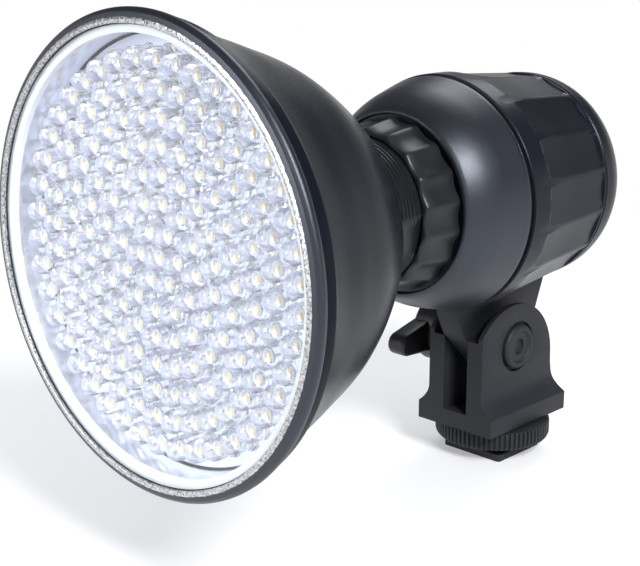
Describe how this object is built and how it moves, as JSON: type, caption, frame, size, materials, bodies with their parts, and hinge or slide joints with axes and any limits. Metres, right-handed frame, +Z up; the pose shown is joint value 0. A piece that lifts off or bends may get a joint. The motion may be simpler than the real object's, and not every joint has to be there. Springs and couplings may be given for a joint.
{
  "type": "on-camera LED light",
  "caption": "Round on-camera light: dish of clear LEDs behind a flat front, threaded neck with scalloped collar, fluted battery barrel and a tilting clevis on a hot-shoe foot with a lock wheel.",
  "frame": {"origin": "centre of the foot's underside, the face that rests in the hot shoe", "axes": "+Z up away from the shoe, -Y the way the light faces, X along the tilt pivot"},
  "size_m": [0.1, 0.1382, 0.123],
  "materials": {
    "black_shell": "satin",
    "bracket_plastic": "matte",
    "knob_plastic": "semi-gloss",
    "clear_plastic": "clear",
    "white_plastic": "satin",
    "mirror_foil": "bright",
    "board": "matte",
    "dark_rubber": "matte",
    "steel": "plain",
    "blackened_steel": "blackened",
    "brass": "machined",
    "cell_jacket": "satin"
  },
  "bodies": {
    "mount": {"shoe_foot": "bracket_plastic", "foot_screw": "steel", "clevis_bracket": "bracket_plastic", "pivot_bolt": "blackened_steel", "knob_washer": "steel"},
    "wheel": {"shoe_wheel": "bracket_plastic"},
    "knob": {"tilt_knob": "knob_plastic", "knob_insert": "brass"},
    "head": {"barrel_shell": "black_shell", "tilt_tongue": "bracket_plastic", "tongue_screws": "steel", "seam_gasket": "dark_rubber", "dome_shell": "black_shell", "neck_tube": "black_shell", "bowl_shell": "black_shell", "front_bezel": "black_shell", "front_lens": "clear_plastic", "lens_ring": "white_plastic", "reflector_wall": "mirror_foil", "led_board": "board", "led_lamps": "clear_plastic", "driver_board": "board", "board_standoffs": "steel"},
    "collar": {"lock_collar": "black_shell"},
    "battery": {"rear_cap": "black_shell", "battery_sled": "knob_plastic", "battery_cells": "cell_jacket", "contact_leaves": "steel", "tail_switch": "knob_plastic"},
    "button": {"power_button": "knob_plastic"}
  },
  "joints": [
    {"name": "head_tilt", "type": "hinge", "parent": "mount", "child": "head", "pos_m": [0, -0.0016, 0.0302], "axis": [1, 0, 0], "range_deg": [-70, 70]},
    {"name": "knob_turn", "type": "hinge", "parent": "mount", "child": "knob", "pos_m": [-0.0148, -0.0016, 0.0302], "axis": [1, 0, 0], "continuous": true},
    {"name": "wheel_turn", "type": "hinge", "parent": "mount", "child": "wheel", "pos_m": [0, 0, 0.0063], "axis": [0, 0, 1], "continuous": true},
    {"name": "collar_turn", "type": "hinge", "parent": "head", "child": "collar", "pos_m": [0, -0.047, 0.073], "axis": [0, 1, 0], "continuous": true},
    {"name": "battery_slide", "type": "slide", "parent": "head", "child": "battery", "axis": [0, 1, 0], "range_m": [0, 0.06]},
    {"name": "button_press", "type": "slide", "parent": "battery", "child": "button", "axis": [0, -1, 0], "range_m": [0, 0.0012], "stiffness_N_per_m": 600}
  ]
}
